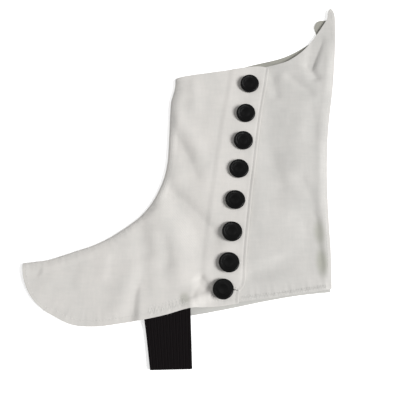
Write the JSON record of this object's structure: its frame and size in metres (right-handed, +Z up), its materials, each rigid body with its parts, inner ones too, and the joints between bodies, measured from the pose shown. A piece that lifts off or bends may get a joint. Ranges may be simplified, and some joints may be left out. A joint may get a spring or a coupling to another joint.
{
  "type": "spat",
  "caption": "White cotton Highland spat lying flat, with a side flap of black buttons, a tall peak at the back seam and an elastic strap for under the shoe.",
  "frame": {"origin": "middle of the spat's footprint, on the surface it lies on", "axes": "+X from the toe to the heel, +Y up the leg towards the peak, +Z up from the surface"},
  "size_m": [0.2885, 0.3448, 0.0118],
  "materials": {
    "cotton": "matt white cotton drill, plain and a little creased",
    "elastic": "black ribbed webbing elastic",
    "button": "satin black, dished face with a raised rim"
  },
  "bodies": {
    "root": {"front_panel": "cotton", "back_panel": "cotton", "medial_panel": "cotton", "foot_strap": "elastic", "button_1": "button", "button_2": "button", "button_3": "button", "button_4": "button", "button_5": "button", "button_6": "button", "button_7": "button", "button_8": "button"}
  },
  "joints": []
}
